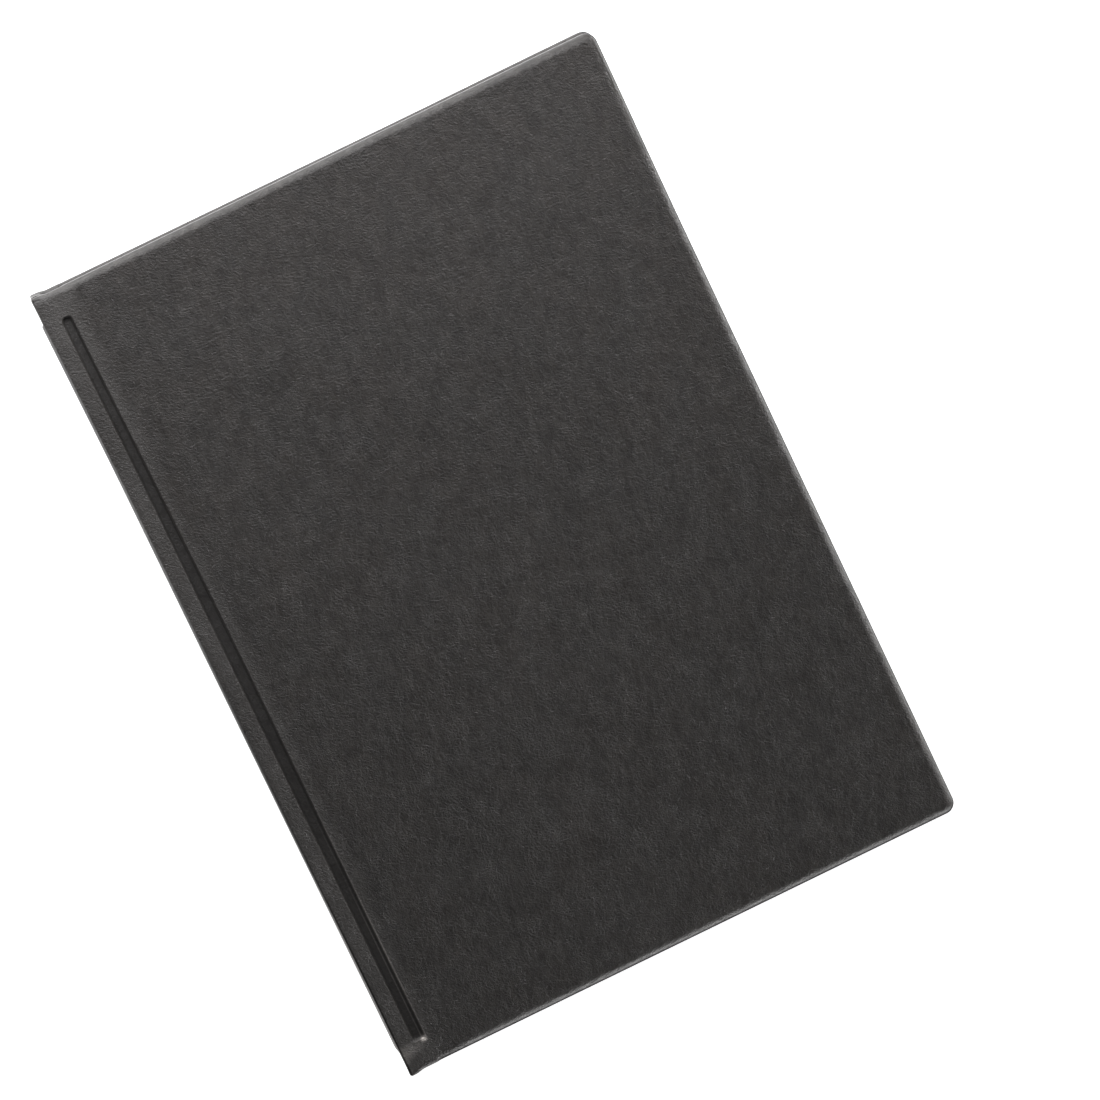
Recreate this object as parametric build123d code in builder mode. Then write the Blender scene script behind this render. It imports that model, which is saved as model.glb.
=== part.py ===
from build123d import *
import os

# A book-style menu cover in black leatherette, closed and lying on its back.
# X runs from the spine to the fore-edge, Y from the tail to the head and Z up.
# The origin is at the bottom centre of the closed cover, and every length is in millimetres.
# A distance called x is measured from the middle of the spine's outside.
# A depth is measured into a cover from its outer face.

# Whole cover
cover_width = 187.0
cover_height = 264.0
corner_radius = 3.6
edge_radius = 2.1
turned_edge_bevel = 0.4

# Layers of one cover, from the outside in
covering_thickness = 0.7
padding_thickness = 1.5
board_thickness = 2.0
joint_lining_thickness = 0.5
card_thickness = 0.8
pocket_slack = 0.3
pocket_thickness = 0.4
closing_gap = 0.4

# Fold at each long edge of the spine
spine_crown = 0.6
fold_radius = 1.4
fold_clearance = 0.1
fold_end_bevel = 0.5

# Pressed groove beside the spine
groove_x = 8.0
groove_width = 3.6
groove_end_margin = 9.0
groove_corner_radius = 1.2
groove_rim_radius = 0.5
groove_floor_bevel = 0.3

# Inside of a cover
turn_in_width = 15.0
turn_in_clearance = 0.1
joint_glue_width = 12.0
card_margin = 3.5
card_joint_gap = 2.5
card_corner_radius = 1.5
card_edge_bevel = 0.2
pocket_leg = 36.0
pocket_edge_bevel = 0.12

# Spine
spine_strip_thickness = 1.2
spine_lining_thickness = 0.5
spine_side_clearance = 0.2
crown_end_margin = 9.0
crown_rise = 1.5
end_crown = 0.04

# Elastic cord that holds folded leaflets in the spine
cord_diameter = 1.5
cord_bend_radius = 1.35
cord_clearance = 0.1
eyelet_end_margin = 9.0
eyelet_bore = 2.2
eyelet_wall = 0.4
eyelet_flange_diameter = 4.8
eyelet_flange_thickness = 0.3
eyelet_edge_bevel = 0.1
eyelet_clearance = 0.05
anchor_diameter = 1.1
anchor_length = 8.0
anchor_clearance = 0.05

# Depths inside a cover
padding_floor = covering_thickness + padding_thickness
board_floor = padding_floor + board_thickness
panel_thickness = board_floor + covering_thickness
band_thickness = padding_floor + covering_thickness
card_face = panel_thickness + card_thickness
pocket_face = card_face + pocket_slack + pocket_thickness
closed_thickness = 2 * pocket_face + closing_gap

# Distances from the outside of the spine
fold_x = spine_crown + fold_radius
board_x = groove_x + groove_width / 2 + covering_thickness
board_end_x = cover_width - covering_thickness
turn_in_x = cover_width - turn_in_width
card_x = board_x + card_joint_gap
card_end_x = cover_width - card_margin
strip_x = covering_thickness + padding_thickness
strip_inner_x = strip_x + spine_strip_thickness
lining_inner_x = strip_inner_x + spine_lining_thickness
cord_x = lining_inner_x + eyelet_flange_thickness + cord_clearance + cord_diameter / 2
anchor_x = strip_x - anchor_clearance - anchor_diameter / 2

# Lengths along the spine
board_height = cover_height - 2 * covering_thickness
lining_height = cover_height - 2 * turn_in_width - 2 * turn_in_clearance
groove_length = cover_height - 2 * groove_end_margin
card_height = cover_height - 2 * card_margin
cord_span = lining_height - 2 * eyelet_end_margin

# Heights in the spine
mid_height = closed_thickness / 2
strip_base = band_thickness + spine_side_clearance
strip_width = closed_thickness - 2 * strip_base

back_face = Plane.XY
front_face = Plane(origin=(0, 0, closed_thickness), x_dir=(1, 0, 0), z_dir=(0, 0, -1))


def from_spine(distance):
    """The X of a point that lies this far from the outside of the spine."""
    return distance - cover_width / 2


def section_plane(face):
    """The plane across a cover, with X from the spine and Y as the depth from its face."""
    return Plane(origin=face.origin, x_dir=face.x_dir, z_dir=-face.y_dir)


def depth_axis(face):
    return Axis(face.origin, face.z_dir)


def save(builder, name):
    builder.part.label = name
    export_step(builder.part, f"parts/{name}.step")


def board_plate(face, depth, start_x, thickness):
    """A flat sheet of the board's outline, with its two fore-edge corners rounded."""
    with BuildPart() as sheet:
        with BuildSketch(face.offset(depth)):
            with Locations((from_spine(start_x), 0)):
                Rectangle(board_end_x - start_x, board_height, align=(Align.MIN, Align.CENTER))
        extrude(amount=thickness)
        fore_corners = sheet.edges().filter_by(Axis.Z).group_by(Axis.X)[-1]
        fillet(fore_corners, corner_radius - covering_thickness)
    return sheet


def cover_padding(face):
    """The foam sheet, rounded over the board's edges and cut away at the groove."""
    with BuildPart() as padding:
        add(board_plate(face, covering_thickness, fold_x, padding_thickness).part)
        outer = padding.faces().sort_by(depth_axis(face))[0]
        fillet(outer.edges().sort_by(Axis.X)[1:], edge_radius - covering_thickness)
        with BuildSketch(face):
            with Locations((from_spine(groove_x), 0)):
                RectangleRounded(
                    groove_width + 2 * covering_thickness,
                    groove_length + 2 * covering_thickness,
                    groove_corner_radius + covering_thickness,
                )
        extrude(amount=padding_floor, mode=Mode.SUBTRACT)
    return padding


def cover_board(face):
    """The stiff board, from the groove to the fore-edge."""
    return board_plate(face, padding_floor, board_x, board_thickness)


def cover_covering(face, padding, board):
    """The leatherette of one cover: face, fold, pressed groove, edges and turn-ins."""
    with BuildPart() as covering:
        with BuildSketch(section_plane(face)):
            with BuildLine():
                Polyline(
                    (from_spine(fold_x), 0),
                    (from_spine(cover_width), 0),
                    (from_spine(cover_width), panel_thickness),
                    (from_spine(board_x), panel_thickness),
                    (from_spine(board_x), band_thickness),
                    (from_spine(fold_x), band_thickness),
                    close=True,
                )
            make_face()
        extrude(amount=cover_height / 2, both=True)
        fillet(covering.edges().filter_by(Axis.Z).group_by(Axis.X)[-1], corner_radius)
        outer = covering.faces().sort_by(depth_axis(face))[0]
        fillet(outer.edges().sort_by(Axis.X)[1:], edge_radius)
        inner = covering.faces().sort_by(depth_axis(face))[-1]
        chamfer(inner.edges().sort_by(Axis.X)[1:], turned_edge_bevel)
        add(fold_roll(face).part)
        with BuildSketch(face):
            with Locations((from_spine(groove_x), 0)):
                RectangleRounded(groove_width, groove_length, groove_corner_radius)
        extrude(amount=padding_thickness, mode=Mode.SUBTRACT)
        floor_edges = covering.edges(Select.LAST).group_by(depth_axis(face))[-1]
        chamfer(floor_edges, groove_floor_bevel)
        rim = covering.faces().sort_by(depth_axis(face))[0].inner_wires()[0]
        fillet(rim.edges(), groove_rim_radius)
        add(padding.part, mode=Mode.SUBTRACT)
        add(board.part, mode=Mode.SUBTRACT)
        with BuildSketch(face.offset(padding_floor)):
            with Locations((from_spine(0), 0)):
                window_height = cover_height - 2 * turn_in_width
                Rectangle(turn_in_x, window_height, align=(Align.MIN, Align.CENTER))
        extrude(amount=panel_thickness - padding_floor, mode=Mode.SUBTRACT)
    return covering


def fold_roll(face):
    """The quarter round where the covering turns from the cover to the spine."""
    with BuildPart() as roll:
        with BuildSketch(section_plane(face)):
            with BuildLine():
                bend = CenterArc((from_spine(fold_x), fold_radius), fold_radius, 180, 90)
                Line(bend @ 1, (from_spine(fold_x), fold_radius))
                Line((from_spine(fold_x), fold_radius), bend @ 0)
            make_face()
        extrude(amount=cover_height / 2, both=True)
        ends = roll.edges().filter_by(GeomType.CIRCLE)
        chamfer(ends, fold_end_bevel)
    return roll


def cover_joint_lining(face):
    """The cloth strip behind the fold and the groove, glued to the board's inner face."""
    lined_floor = padding_floor + joint_lining_thickness
    with BuildPart() as lining:
        with BuildSketch(section_plane(face)):
            with BuildLine():
                Polyline(
                    (from_spine(fold_x), padding_floor),
                    (from_spine(board_x), padding_floor),
                    (from_spine(board_x), board_floor),
                    (from_spine(board_x + joint_glue_width), board_floor),
                    (from_spine(board_x + joint_glue_width), board_floor + joint_lining_thickness),
                    (from_spine(board_x - joint_lining_thickness), board_floor + joint_lining_thickness),
                    (from_spine(board_x - joint_lining_thickness), lined_floor),
                    (from_spine(fold_x), lined_floor),
                    close=True,
                )
            make_face()
        extrude(amount=lining_height / 2, both=True)
    return lining


def card_block(face, thickness):
    """A block of the card's outline that stands on the board's turn-ins."""
    with BuildPart() as block:
        with BuildSketch(face.offset(panel_thickness)):
            with Locations((from_spine((card_x + card_end_x) / 2), 0)):
                RectangleRounded(card_end_x - card_x, card_height, card_corner_radius)
        extrude(amount=thickness)
    return block


def cover_card(face):
    """The lined card that closes the inside of a cover over the turn-ins."""
    with BuildPart() as card:
        add(card_block(face, card_thickness).part)
        shown = card.faces().sort_by(depth_axis(face))[-1]
        chamfer(shown.edges(), card_edge_bevel)
    return card


def corner_pocket(face, edge_x, inward, edge_y):
    """A triangular pocket that wraps one corner of the card, open along its long side."""
    toward_middle = -1 if edge_y > 0 else 1
    corner = (from_spine(edge_x) - inward * pocket_thickness, edge_y - toward_middle * pocket_thickness)
    with BuildPart() as pocket:
        with BuildSketch(face.offset(panel_thickness)):
            with BuildLine():
                Polyline(
                    corner,
                    (corner[0] + inward * pocket_leg, corner[1]),
                    (corner[0], corner[1] + toward_middle * pocket_leg),
                    close=True,
                )
            make_face()
            fillet(vertices().sort_by_distance((*corner, 0))[0], card_corner_radius + pocket_thickness)
        extrude(amount=pocket_face - panel_thickness)
        shown = pocket.faces().sort_by(depth_axis(face))[-1]
        chamfer(shown.edges(), pocket_edge_bevel)
        add(card_block(face, card_thickness + pocket_slack).part, mode=Mode.SUBTRACT)
    return pocket


def build_cover(side, face):
    """Builds and saves every piece of one cover."""
    padding = cover_padding(face)
    board = cover_board(face)
    save(padding, f"{side}_padding")
    save(board, f"{side}_board")
    save(cover_covering(face, padding, board), f"{side}_covering")
    save(cover_joint_lining(face), f"{side}_joint_lining")
    save(cover_card(face), f"{side}_lining_card")
    head = card_height / 2 * face.y_dir.Y
    for end, edge_y in (("head", head), ("tail", -head)):
        fore_pocket = corner_pocket(face, card_end_x, -1, edge_y)
        save(fore_pocket, f"{side}_pocket_{end}_fore")
        inner_pocket = corner_pocket(face, card_x, 1, edge_y)
        save(inner_pocket, f"{side}_pocket_{end}_inner")


def crowned_block(height, start_x, end_x):
    """A bar along the spine whose outside is crowned, except near the head and the tail."""
    crown_end = cover_height / 2 - crown_end_margin
    crown_full = crown_end - crown_rise
    stations = (
        (-height / 2, end_crown),
        (-crown_end, end_crown),
        (-crown_full, spine_crown),
        (crown_full, spine_crown),
        (crown_end, end_crown),
        (height / 2, end_crown),
    )
    with BuildPart() as block:
        for station, crown in stations:
            with BuildSketch(Plane.XZ.offset(-station)):
                with BuildLine():
                    outside = ThreePointArc(
                        (from_spine(start_x), fold_radius),
                        (from_spine(start_x - crown), mid_height),
                        (from_spine(start_x), closed_thickness - fold_radius),
                    )
                    Polyline(
                        outside @ 1,
                        (from_spine(end_x), closed_thickness - fold_radius),
                        (from_spine(end_x), fold_radius),
                        outside @ 0,
                    )
                make_face()
        loft(ruled=True)
    return block


def fold_space(inner_x):
    """What the folds need free at both edges of the spine, from this far inside it."""
    with BuildPart() as space:
        with BuildSketch(Plane.XZ):
            back_bend = (from_spine(fold_x), fold_radius)
            front_bend = (from_spine(fold_x), closed_thickness - fold_radius)
            with Locations(back_bend, front_bend):
                Circle(fold_radius + fold_clearance)
            for side, edge in ((Align.MIN, 0), (Align.MAX, closed_thickness)):
                with Locations((from_spine(inner_x), edge)):
                    Rectangle(board_x, strip_base, align=(Align.MIN, side))
        extrude(amount=cover_height, both=True)
    return space


def spine_covering():
    """The leatherette of the spine: crowned back, end walls and turn-ins at head and tail."""
    turned_x = strip_inner_x + covering_thickness
    skin_x = spine_crown + covering_thickness
    with BuildPart() as covering:
        add(crowned_block(cover_height, spine_crown, turned_x).part)
        add(crowned_block(board_height, skin_x, strip_inner_x).part, mode=Mode.SUBTRACT)
        add(fold_space(skin_x).part, mode=Mode.SUBTRACT)
        with BuildSketch(Plane.YZ.offset(from_spine(strip_inner_x))):
            with Locations((0, mid_height)):
                Rectangle(cover_height - 2 * turn_in_width, closed_thickness)
        extrude(amount=covering_thickness, mode=Mode.SUBTRACT)
    return covering


def spine_padding():
    """The foam behind the crowned back, with room for the cord's anchors."""
    with BuildPart() as padding:
        add(crowned_block(board_height, spine_crown + covering_thickness, strip_x).part)
        add(fold_space(0).part, mode=Mode.SUBTRACT)
        with BuildSketch(Plane.YZ.offset(from_spine(strip_x))):
            with Locations((-cord_span / 2, mid_height), (cord_span / 2, mid_height)):
                Rectangle(anchor_length + 2 * anchor_clearance, anchor_diameter + 2 * anchor_clearance)
        extrude(amount=-(anchor_diameter + 2 * anchor_clearance), mode=Mode.SUBTRACT)
    return padding


def spine_sheet(start_x, thickness, height):
    """A flat strip along the spine with a hole for each eyelet."""
    with BuildPart() as sheet:
        with BuildSketch(Plane.YZ.offset(from_spine(start_x))):
            with Locations((0, mid_height)):
                Rectangle(height, strip_width)
            with Locations((-cord_span / 2, mid_height), (cord_span / 2, mid_height)):
                Circle(eyelet_bore / 2 + eyelet_wall + eyelet_clearance, mode=Mode.SUBTRACT)
        extrude(amount=thickness)
    return sheet


def cord_eyelets():
    """The two flanged rings that line the cord's holes."""
    with BuildPart() as eyelets:
        with BuildSketch(Plane.YZ.offset(from_spine(strip_x))):
            with Locations((-cord_span / 2, mid_height), (cord_span / 2, mid_height)):
                Circle(eyelet_bore / 2 + eyelet_wall)
        extrude(amount=lining_inner_x - strip_x)
        with BuildSketch(Plane.YZ.offset(from_spine(lining_inner_x))):
            with Locations((-cord_span / 2, mid_height), (cord_span / 2, mid_height)):
                Circle(eyelet_flange_diameter / 2)
        extrude(amount=eyelet_flange_thickness)
        flanges = eyelets.faces().group_by(Axis.X)[-1]
        chamfer(flanges.edges(), eyelet_edge_bevel)
        with BuildSketch(Plane.YZ.offset(from_spine(strip_x))):
            with Locations((-cord_span / 2, mid_height), (cord_span / 2, mid_height)):
                Circle(eyelet_bore / 2)
        extrude(amount=lining_inner_x + eyelet_flange_thickness - strip_x, mode=Mode.SUBTRACT)
    return eyelets


def elastic_cord():
    """The cord along the inside of the spine, which dips into an eyelet at each end."""
    with BuildPart() as cord:
        with BuildLine():
            route = FilletPolyline(
                (from_spine(strip_x), -cord_span / 2, mid_height),
                (from_spine(cord_x), -cord_span / 2, mid_height),
                (from_spine(cord_x), cord_span / 2, mid_height),
                (from_spine(strip_x), cord_span / 2, mid_height),
                radius=cord_bend_radius,
            )
        with BuildSketch(Plane(origin=route @ 0, z_dir=route % 0)):
            Circle(cord_diameter / 2)
        sweep()
    return cord


def cord_anchors():
    """The two short bars that keep the cord's ends behind the spine strip."""
    with BuildPart() as anchors:
        for station in (-cord_span / 2, cord_span / 2):
            with BuildSketch(Plane.XZ.offset(-station)):
                with Locations((from_spine(anchor_x), mid_height)):
                    Circle(anchor_diameter / 2)
            extrude(amount=anchor_length / 2, both=True)
    return anchors


def build_spine():
    """Builds and saves every piece of the spine."""
    save(spine_covering(), "spine_covering")
    save(spine_padding(), "spine_padding")
    save(spine_sheet(strip_x, spine_strip_thickness, board_height), "spine_strip")
    save(spine_sheet(strip_inner_x, spine_lining_thickness, lining_height), "spine_lining")
    save(cord_eyelets(), "cord_eyelets")
    save(elastic_cord(), "elastic_cord")
    save(cord_anchors(), "cord_anchors")


def main():
    os.makedirs("parts", exist_ok=True)
    build_cover("back", back_face)
    build_cover("front", front_face)
    build_spine()


main()
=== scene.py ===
import math

import bmesh
import bpy
import numpy as np
from mathutils import Matrix, Vector, noise


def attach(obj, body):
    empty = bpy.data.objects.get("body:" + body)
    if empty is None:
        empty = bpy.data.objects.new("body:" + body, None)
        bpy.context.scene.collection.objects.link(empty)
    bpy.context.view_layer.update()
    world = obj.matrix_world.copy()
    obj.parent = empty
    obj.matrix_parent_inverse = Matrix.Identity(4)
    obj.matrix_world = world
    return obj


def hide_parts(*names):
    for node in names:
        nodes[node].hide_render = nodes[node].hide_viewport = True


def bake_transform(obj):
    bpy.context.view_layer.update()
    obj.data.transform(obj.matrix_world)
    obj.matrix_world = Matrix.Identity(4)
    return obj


# A book-style menu cover in black leatherette, closed, on a plain pale floor.
# Sizes of the cover are in millimetres and become metres where a mesh is made. Lights, floor and
# textures are in metres.
# An x is measured from the spine's outside towards the fore-edge, a y from the middle of the
# cover towards the head, and a depth from a cover's outer face towards the other cover.
MM = 0.001

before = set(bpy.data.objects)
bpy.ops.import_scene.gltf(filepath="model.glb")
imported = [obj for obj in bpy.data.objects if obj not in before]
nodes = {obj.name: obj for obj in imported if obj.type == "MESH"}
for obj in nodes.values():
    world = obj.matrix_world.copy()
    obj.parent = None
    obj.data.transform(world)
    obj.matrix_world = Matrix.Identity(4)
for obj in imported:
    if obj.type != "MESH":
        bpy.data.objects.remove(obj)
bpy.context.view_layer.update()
scene = bpy.context.scene
scene.view_settings.view_transform = "Standard"

# Whole cover
COVER_WIDTH = 187.0
COVER_HEIGHT = 264.0
CLOSED_THICKNESS = 13.2
CORNER_RADIUS = 3.6
HALF = COVER_HEIGHT / 2
MID_HEIGHT = CLOSED_THICKNESS / 2

# Skin
PANEL_THICKNESS = 4.9
BAND_THICKNESS = 2.9
TURN_IN_WIDTH = 15.0
SKIN_THICKNESS = 0.66
BOARD_X = 10.5
PANEL_ROLL = 2.3
BAND_ROLL = 1.3
SPINE_ROLL = 0.8
ROLL_POWER = 2.4
TURN_IN_ROLL = 1.3
SWELL_FADE = 2.0

# Fold and spine
FOLD_X = 2.0
SPINE_CROWN = 0.6
CROWN_END = HALF - 9.4
BEND_RADIUS = 0.85
INNER_SPINE_X = 4.1
INNER_CORNER = (4.3, 3.1)
SPINE_EDGE_DEPTH = 3.4

# Pressed groove
GROOVE_X = 8.0
GROOVE_WIDTH = 3.6
GROOVE_DEPTH = 1.5
GROOVE_END_MARGIN = 9.0
GROOVE_CORNER_RADIUS = 1.2
GROOVE_HEAD_NARROWING = 0.7
GROOVE_RIM_X = GROOVE_X + GROOVE_WIDTH / 2 + 0.3

# Card and pockets
CARD_X = 13.0
CARD_END_X = 183.5
CARD_HALF = 128.5
CARD_FACE = 5.7
POCKET_FACE = 6.4
POCKET_LEG = 36.0
POCKET_THICKNESS = 0.4
POCKETS = {
    "head_fore": (CARD_END_X, -1, 1),
    "head_inner": (CARD_X, 1, 1),
    "tail_fore": (CARD_END_X, -1, -1),
    "tail_inner": (CARD_X, 1, -1),
}

# Hinge lining and cord
LINING_HALF = 116.9
LINING_THICKNESS = 0.45
STRIP_X = 2.2
CORD_X = 5.05
CORD_DIAMETER = 1.5
CORD_HALF = 107.9
CORD_DIP = 2.85


# Camera

# The photograph's view of the closed cover: where the camera stands, in millimetres, and the
# directions of the picture's right, of its top and away from the scene.
CAMERA_PLACE = (-54.5, 300.0, 2113.4)
CAMERA_RIGHT = (0.899555, -0.427083, 0.091659)
CAMERA_UP = (0.435586, 0.892754, -0.115135)
CAMERA_BACK = (-0.032657, 0.143495, 0.989112)
CAMERA_LENS = 229.091


def make_camera():
    data = bpy.data.cameras.new("photo_camera")
    data.sensor_width = 36.0
    data.lens = CAMERA_LENS
    data.clip_start = 0.01
    data.clip_end = 50.0
    camera = add_object("photo_camera", data)
    turn = Matrix((CAMERA_RIGHT, CAMERA_UP, CAMERA_BACK)).transposed().to_4x4()
    camera.matrix_world = Matrix.Translation(Vector(CAMERA_PLACE) * MM) @ turn
    scene.camera = camera


def add_object(name, data):
    added = bpy.data.objects.new(name, data)
    scene.collection.objects.link(added)
    return added


# Studio

# The room is pale near the floor and dark overhead, and darker on the spine's side.
ROOM_LOW, ROOM_HIGH = 0.44, 0.085
ROOM_SPINE_SIDE = 0.35
FLOOR_SIDE = 6.0
FLOOR_TONE = (0.82, 0.82, 0.82)
COOL_LIGHT = (0.965, 0.97, 1.0)


def make_world():
    world = bpy.data.worlds.new("studio")
    scene.world = world
    world.use_nodes = True
    tree = world.node_tree
    tree.nodes.clear()
    out = tree.nodes.new("ShaderNodeOutputWorld")
    background = tree.nodes.new("ShaderNodeBackground")
    ramp = tree.nodes.new("ShaderNodeValToRGB")
    split = tree.nodes.new("ShaderNodeSeparateXYZ")
    where = tree.nodes.new("ShaderNodeTexCoord")
    tree.links.new(where.outputs["Generated"], split.inputs[0])
    tree.links.new(split.outputs["Z"], ramp.inputs[0])
    side = tree.nodes.new("ShaderNodeMapRange")
    side.interpolation_type = "SMOOTHSTEP"
    tree.links.new(split.outputs["X"], side.inputs["Value"])
    side.inputs["From Min"].default_value = -1.0
    side.inputs["From Max"].default_value = -0.1
    side.inputs["To Min"].default_value = ROOM_SPINE_SIDE
    side.inputs["To Max"].default_value = 1.0
    dim = tree.nodes.new("ShaderNodeVectorMath")
    dim.operation = "SCALE"
    tree.links.new(ramp.outputs[0], dim.inputs[0])
    tree.links.new(side.outputs[0], dim.inputs["Scale"])
    tree.links.new(dim.outputs[0], background.inputs["Color"])
    tree.links.new(background.outputs[0], out.inputs[0])
    background.inputs["Strength"].default_value = 1.0
    low, high = ramp.color_ramp.elements
    low.position, low.color = 0.0, (ROOM_LOW, ROOM_LOW, ROOM_LOW, 1)
    high.position, high.color = 0.85, (ROOM_HIGH, ROOM_HIGH, ROOM_HIGH, 1)


def make_light(name, place, aim, size, power, color=(1, 1, 1)):
    data = bpy.data.lights.new(name, "AREA")
    data.shape = "RECTANGLE"
    data.size, data.size_y = size
    data.energy = power
    data.color = color
    light = add_object(name, data)
    direction = Vector(aim) - Vector(place)
    light.rotation_euler = direction.to_track_quat("-Z", "Y").to_euler()
    light.location = place
    light.visible_camera = False


def make_floor():
    mesh = bpy.data.meshes.new("floor")
    side = FLOOR_SIDE
    corners = [(-side, -side, 0), (side, -side, 0), (side, side, 0), (-side, side, 0)]
    mesh.from_pydata(corners, [], [(0, 1, 2, 3)])
    floor = add_object("floor", mesh)
    floor.location.z = -0.2 * MM
    floor.data.materials.append(floor_paper())


# Materials

class Nodes:
    """Short calls that add a node to a material and link its inputs."""

    def __init__(self, name):
        self.material = bpy.data.materials.new(name)
        self.material.use_nodes = True
        self.tree = self.material.node_tree
        self.tree.nodes.clear()
        self.out = self.tree.nodes.new("ShaderNodeOutputMaterial")
        self.shader = self.tree.nodes.new("ShaderNodeBsdfPrincipled")
        self.tree.links.new(self.shader.outputs[0], self.out.inputs[0])

    def put(self, node, socket, value):
        if value is None:
            return
        if isinstance(value, bpy.types.NodeSocket):
            self.tree.links.new(value, node.inputs[socket])
        else:
            node.inputs[socket].default_value = value

    def coords(self):
        return self.tree.nodes.new("ShaderNodeTexCoord").outputs["Object"]

    def attribute(self, name, out="Fac"):
        node = self.tree.nodes.new("ShaderNodeAttribute")
        node.attribute_name = name
        return node.outputs[out]

    def axes(self, vector):
        node = self.tree.nodes.new("ShaderNodeSeparateXYZ")
        self.put(node, 0, vector)
        return node.outputs["X"], node.outputs["Y"], node.outputs["Z"]

    def moved(self, vector, offset, amount):
        """Coordinates shifted by this much of another vector."""
        node = self.tree.nodes.new("ShaderNodeVectorMath")
        node.operation = "MULTIPLY_ADD"
        self.put(node, 0, offset)
        self.put(node, 1, (amount, amount, amount))
        self.put(node, 2, vector)
        return node.outputs[0]

    def stretched(self, vector, stretch=(1, 1, 1), degrees=0.0, shift=(0, 0, 0)):
        """Coordinates in which a texture is longer along axes that are turned about Z."""
        node = self.tree.nodes.new("ShaderNodeMapping")
        node.vector_type = "TEXTURE"
        self.put(node, "Vector", vector)
        self.put(node, "Scale", stretch)
        self.put(node, "Rotation", (0, 0, math.radians(degrees)))
        self.put(node, "Location", shift)
        return node.outputs[0]

    def noise(self, vector, scale, detail=3.0, roughness=0.5, distortion=0.0, out="Fac"):
        node = self.tree.nodes.new("ShaderNodeTexNoise")
        self.put(node, "Vector", vector)
        self.put(node, "Scale", scale)
        self.put(node, "Detail", detail)
        self.put(node, "Roughness", roughness)
        self.put(node, "Distortion", distortion)
        return node.outputs[out]

    def cells(self, vector, scale):
        node = self.tree.nodes.new("ShaderNodeTexVoronoi")
        self.put(node, "Vector", vector)
        self.put(node, "Scale", scale)
        return node.outputs["Distance"]

    def math(self, operation, a, b=None, clamp=False):
        node = self.tree.nodes.new("ShaderNodeMath")
        node.operation = operation
        node.use_clamp = clamp
        self.put(node, 0, a)
        self.put(node, 1, b)
        return node.outputs[0]

    def plus(self, a, b):
        return self.math("ADD", a, b)

    def minus(self, a, b, clamp=False):
        return self.math("SUBTRACT", a, b, clamp)

    def times(self, a, b, clamp=False):
        return self.math("MULTIPLY", a, b, clamp)

    def spread(self, value, low, high, start=0.0, end=1.0, smooth=True):
        """Goes from start, where the value is low, to end, where it is high."""
        node = self.tree.nodes.new("ShaderNodeMapRange")
        node.interpolation_type = "SMOOTHSTEP" if smooth else "LINEAR"
        self.put(node, "Value", value)
        self.put(node, "From Min", low)
        self.put(node, "From Max", high)
        self.put(node, "To Min", start)
        self.put(node, "To Max", end)
        return node.outputs[0]

    def faded(self, value, by, rest):
        """The value times a factor that falls from 1 to rest as another one goes from 0 to 1."""
        return self.times(value, self.spread(by, 0.0, 1.0, 1.0, rest, smooth=False))

    def mix(self, factor, a, b):
        node = self.tree.nodes.new("ShaderNodeMix")
        node.data_type = "RGBA"
        self.put(node, 0, factor)
        self.put(node, 6, (*a, 1) if isinstance(a, tuple) else a)
        self.put(node, 7, (*b, 1) if isinstance(b, tuple) else b)
        return node.outputs[2]

    def bump(self, height, distance, strength=1.0, normal=None):
        node = self.tree.nodes.new("ShaderNodeBump")
        self.put(node, "Height", height)
        self.put(node, "Distance", distance)
        self.put(node, "Strength", strength)
        self.put(node, "Normal", normal)
        return node.outputs[0]

    def finish(self, color, roughness, normal, shine=None, metallic=None):
        self.put(self.shader, "Base Color", color)
        self.put(self.shader, "Roughness", roughness)
        self.put(self.shader, "Normal", normal)
        self.put(self.shader, "Specular IOR Level", shine)
        self.put(self.shader, "Metallic", metallic)
        return self.material


def shaded(color, factor):
    return tuple(factor * c for c in color)


def floor_paper():
    """The lit table under the object."""
    n = Nodes("floor_paper")
    n.shader.inputs["Emission Color"].default_value = (1, 1, 1, 1)
    n.shader.inputs["Emission Strength"].default_value = 1.0
    mottle = n.noise(n.coords(), 14.0, detail=4.0)
    tint = n.mix(mottle, shaded(FLOOR_TONE, 0.988), FLOOR_TONE)
    return n.finish(tint, 0.9, n.bump(mottle, 0.0002, 0.3))


# Leatherette: its tones, and the directions in which its grain and its mottling run
# Near-black tone of the painted shade in the groove, under the tail's edge and the fore-edge, and
# in the spine's crease
SHADE_BLACK = (0.0018, 0.0014, 0.0010)
WARM_DARK, COOL_DARK = (0.0064, 0.0044, 0.0031), (0.0059, 0.0043, 0.0032)
# Paler tones of the random mottling and of the painted sheen on the grain's crests
WARM_WORN_AND_SHEEN, COOL_WORN_AND_SHEEN = (0.0252, 0.0203, 0.0170), (0.0242, 0.0202, 0.0174)
# Pale tone of the wear on the band and of the painted highlights on the groove's rims and end, the
# spine and its tail corner
PALE_WEAR_AND_HIGHLIGHT = (0.0560, 0.0515, 0.0480)
GRAIN_TURN = -27
MOTTLE_TURN = 77
GRAIN_HEIGHT = 0.27 * MM
SWELL_HEIGHT = 0.8 * MM


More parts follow.
